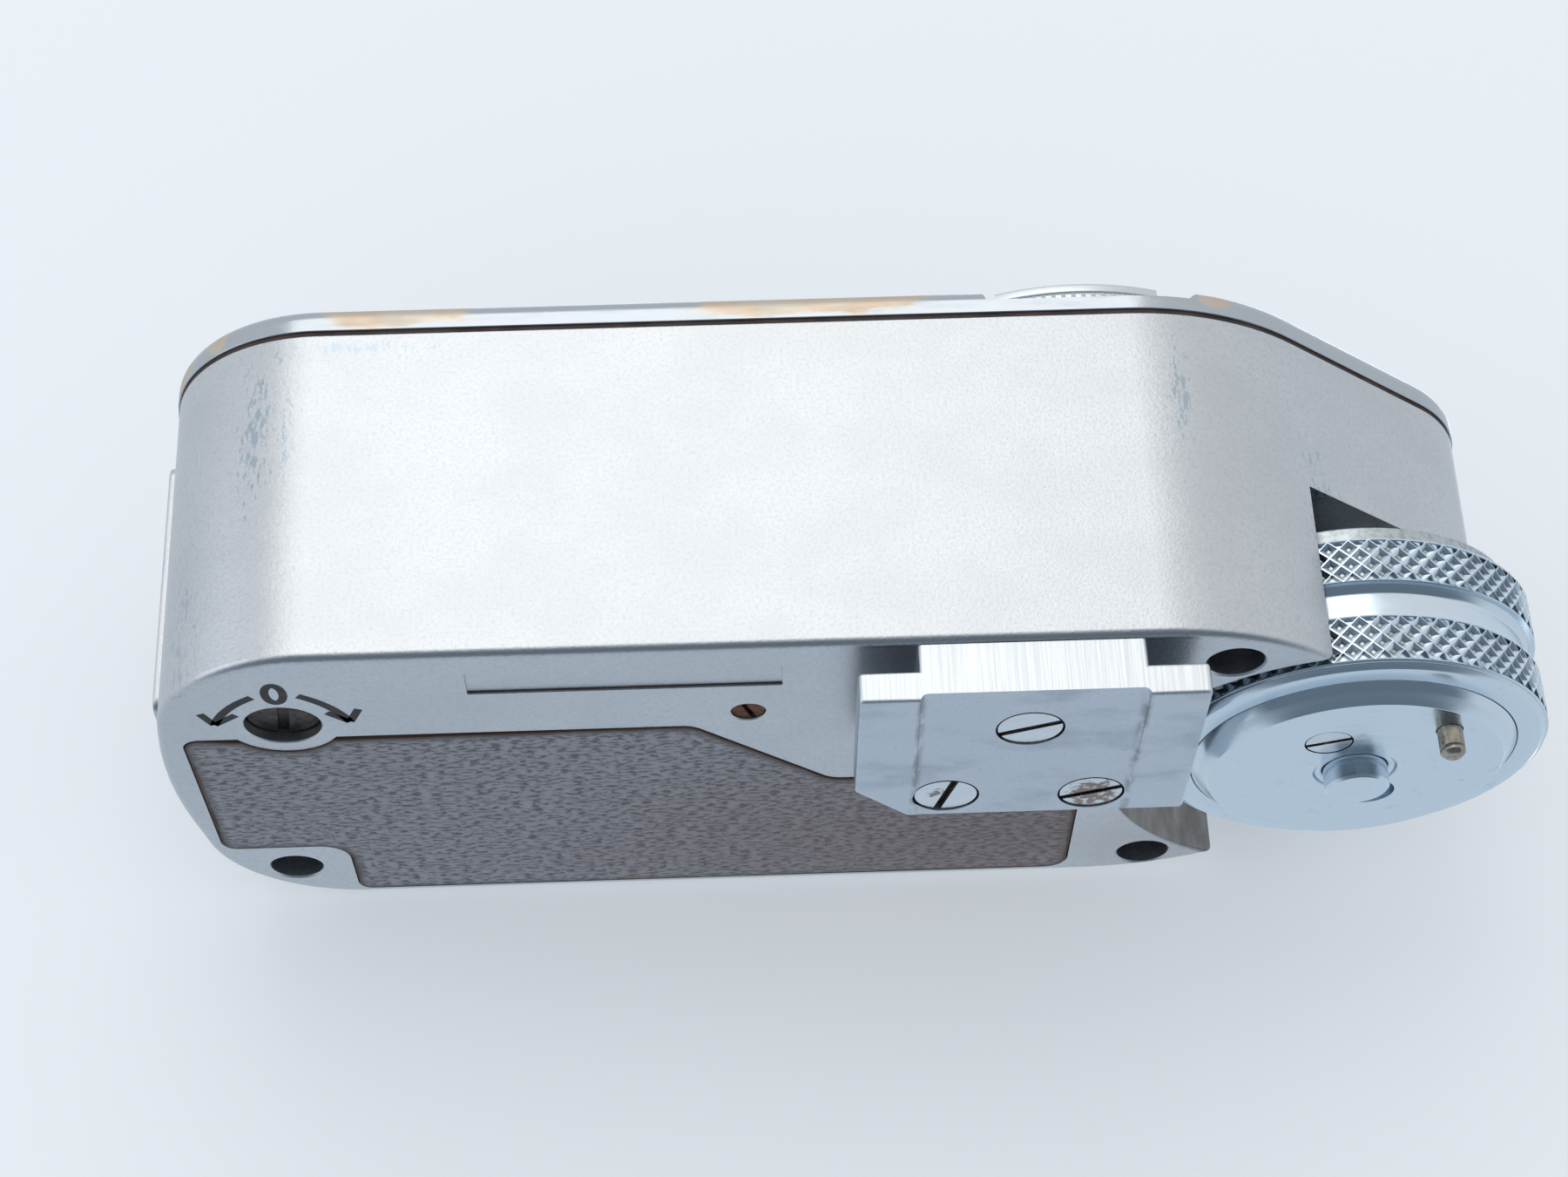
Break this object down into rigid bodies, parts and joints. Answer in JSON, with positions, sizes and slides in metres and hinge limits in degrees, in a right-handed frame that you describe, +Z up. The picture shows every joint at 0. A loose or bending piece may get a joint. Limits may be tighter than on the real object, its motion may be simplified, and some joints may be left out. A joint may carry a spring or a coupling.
{
  "type": "selenium light meter",
  "caption": "Chromed shoe-mounted selenium light meter with a knurled, liftable shutter-coupling wheel geared to an exposure dial, and a moving-coil needle under a scale window.",
  "frame": {"origin": "centre of the foot's sliding face, midway along its length and between its wings", "axes": "+Z up towards the cover and dial, +X towards the knurled coupling wheel, +Y forwards along the shoe towards the cell face"},
  "size_m": [0.0783, 0.0309, 0.0273],
  "materials": {
    "satin_chrome_case": "satin, bead-blasted",
    "bright_chrome_cover": "bright, brassed at the edges",
    "satin_steel_foot": "satin, lightly pitted",
    "worn_steel_screws": "worn",
    "leatherette": "pebbled",
    "clear_window": "clear",
    "scale_enamel": "matt",
    "selenium": "semi-matt",
    "contact_brass": "plain",
    "lead_insulation": "varnished",
    "resistor_bobbin": "plain",
    "bright_chrome_wheel": "bright, finely turned",
    "turned_steel": "turned",
    "pin_metal": "worn",
    "spring_steel": "plain",
    "gear_brass": "cut",
    "dial_chrome": "satin",
    "soft_iron": "ground",
    "magnet_alloy": "cast",
    "enamelled_copper": "wound",
    "needle_black": "black varnish",
    "hairspring_bronze": "plain"
  },
  "bodies": {
    "root": {"body_shell": "satin_chrome_case", "leatherette": "leatherette", "foot": "satin_steel_foot", "foot_screws": "worn_steel_screws", "case_screws": "worn_steel_screws", "scale_post_screw": "worn_steel_screws", "end_plate": "satin_chrome_case", "end_plate_rivets": "worn_steel_screws", "top_cover": "bright_chrome_cover", "scale_window": "clear_window", "scale_plate": "scale_enamel", "lens_panel": "clear_window", "front_bezel": "satin_chrome_case", "selenium_cell": "selenium", "cell_contact_spring": "contact_brass", "cell_leads": "lead_insulation", "series_resistor": "resistor_bobbin", "spindle_bush": "contact_brass", "gear_plate": "contact_brass", "gear_plate_screws": "worn_steel_screws", "idler_stud": "turned_steel", "magnet_yoke": "soft_iron", "core_magnet": "magnet_alloy", "core_bracket": "contact_brass", "lower_bridge": "contact_brass", "upper_bridge": "contact_brass", "bridge_screws": "worn_steel_screws", "jewel_screws": "contact_brass", "upper_hairspring": "hairspring_bronze", "lower_hairspring": "hairspring_bronze"},
    "spindle": {"spindle": "turned_steel", "spindle_gear": "gear_brass", "spindle_clip": "turned_steel", "lift_spring": "spring_steel"},
    "coupling_wheel": {"wheel": "bright_chrome_wheel", "wheel_plate": "bright_chrome_wheel", "plate_screw": "turned_steel", "coupling_pin": "pin_metal"},
    "idler": {"idler_gear": "gear_brass"},
    "exposure_dial": {"dial_shaft": "turned_steel", "dial_gear": "gear_brass", "exposure_disc": "dial_chrome", "dial_washer": "turned_steel", "dial_screw": "dial_chrome"},
    "film_speed_dial": {"speed_disc": "dial_chrome"},
    "needle_coil": {"moving_coil": "enamelled_copper", "coil_pivots": "turned_steel", "needle": "needle_black"},
    "zero_adjuster": {"zero_screw": "worn_steel_screws", "zero_clip": "turned_steel"},
    "zero_lever": {"zero_arm": "contact_brass"}
  },
  "joints": [
    {"name": "spindle_turn", "type": "hinge", "parent": "root", "child": "spindle", "pos_m": [0.0191, 0.0069, 0.015], "axis": [0, 0, 1], "range_deg": [-160, 160]},
    {"name": "wheel_lift", "type": "slide", "parent": "spindle", "child": "coupling_wheel", "axis": [0, 0, 1], "range_m": [0, 0.002], "stiffness_N_per_m": 200, "springref_m": -0.004, "deforming": ["lift_spring"]},
    {"name": "idler_turn", "type": "hinge", "parent": "root", "child": "idler", "pos_m": [0.0117, 0.0069, 0.0178], "axis": [0, 0, 1], "range_deg": [-190, 190]},
    {"name": "dial_turn", "type": "hinge", "parent": "root", "child": "exposure_dial", "pos_m": [0.0043, 0.0069, 0.0247], "axis": [0, 0, 1], "range_deg": [-160, 160]},
    {"name": "film_speed_turn", "type": "hinge", "parent": "exposure_dial", "child": "film_speed_dial", "pos_m": [0.0043, 0.0069, 0.0261], "axis": [0, 0, 1], "range_deg": [-75, 75]},
    {"name": "needle_swing", "type": "hinge", "parent": "root", "child": "needle_coil", "pos_m": [-0.036, 0.003, 0.014], "axis": [0, 0, 1], "range_deg": [0, 44], "stiffness_Nm_per_rad": 0.000002},
    {"name": "zero_turn", "type": "hinge", "parent": "root", "child": "zero_adjuster", "pos_m": [-0.0401, 0, 0.005], "axis": [0, 0, 1], "range_deg": [-35, 35]},
    {"name": "zero_lever_turn", "type": "hinge", "parent": "root", "child": "zero_lever", "pos_m": [-0.036, 0.003, 0.0087], "axis": [0, 0, 1], "range_deg": [-4, 4]}
  ],
  "couplings": [
    {"joint": "idler_turn", "follows": "spindle_turn", "ratio": -1.1765},
    {"joint": "dial_turn", "follows": "spindle_turn", "ratio": 1},
    {"joint": "zero_lever_turn", "follows": "zero_turn", "ratio": 0.1056}
  ]
}
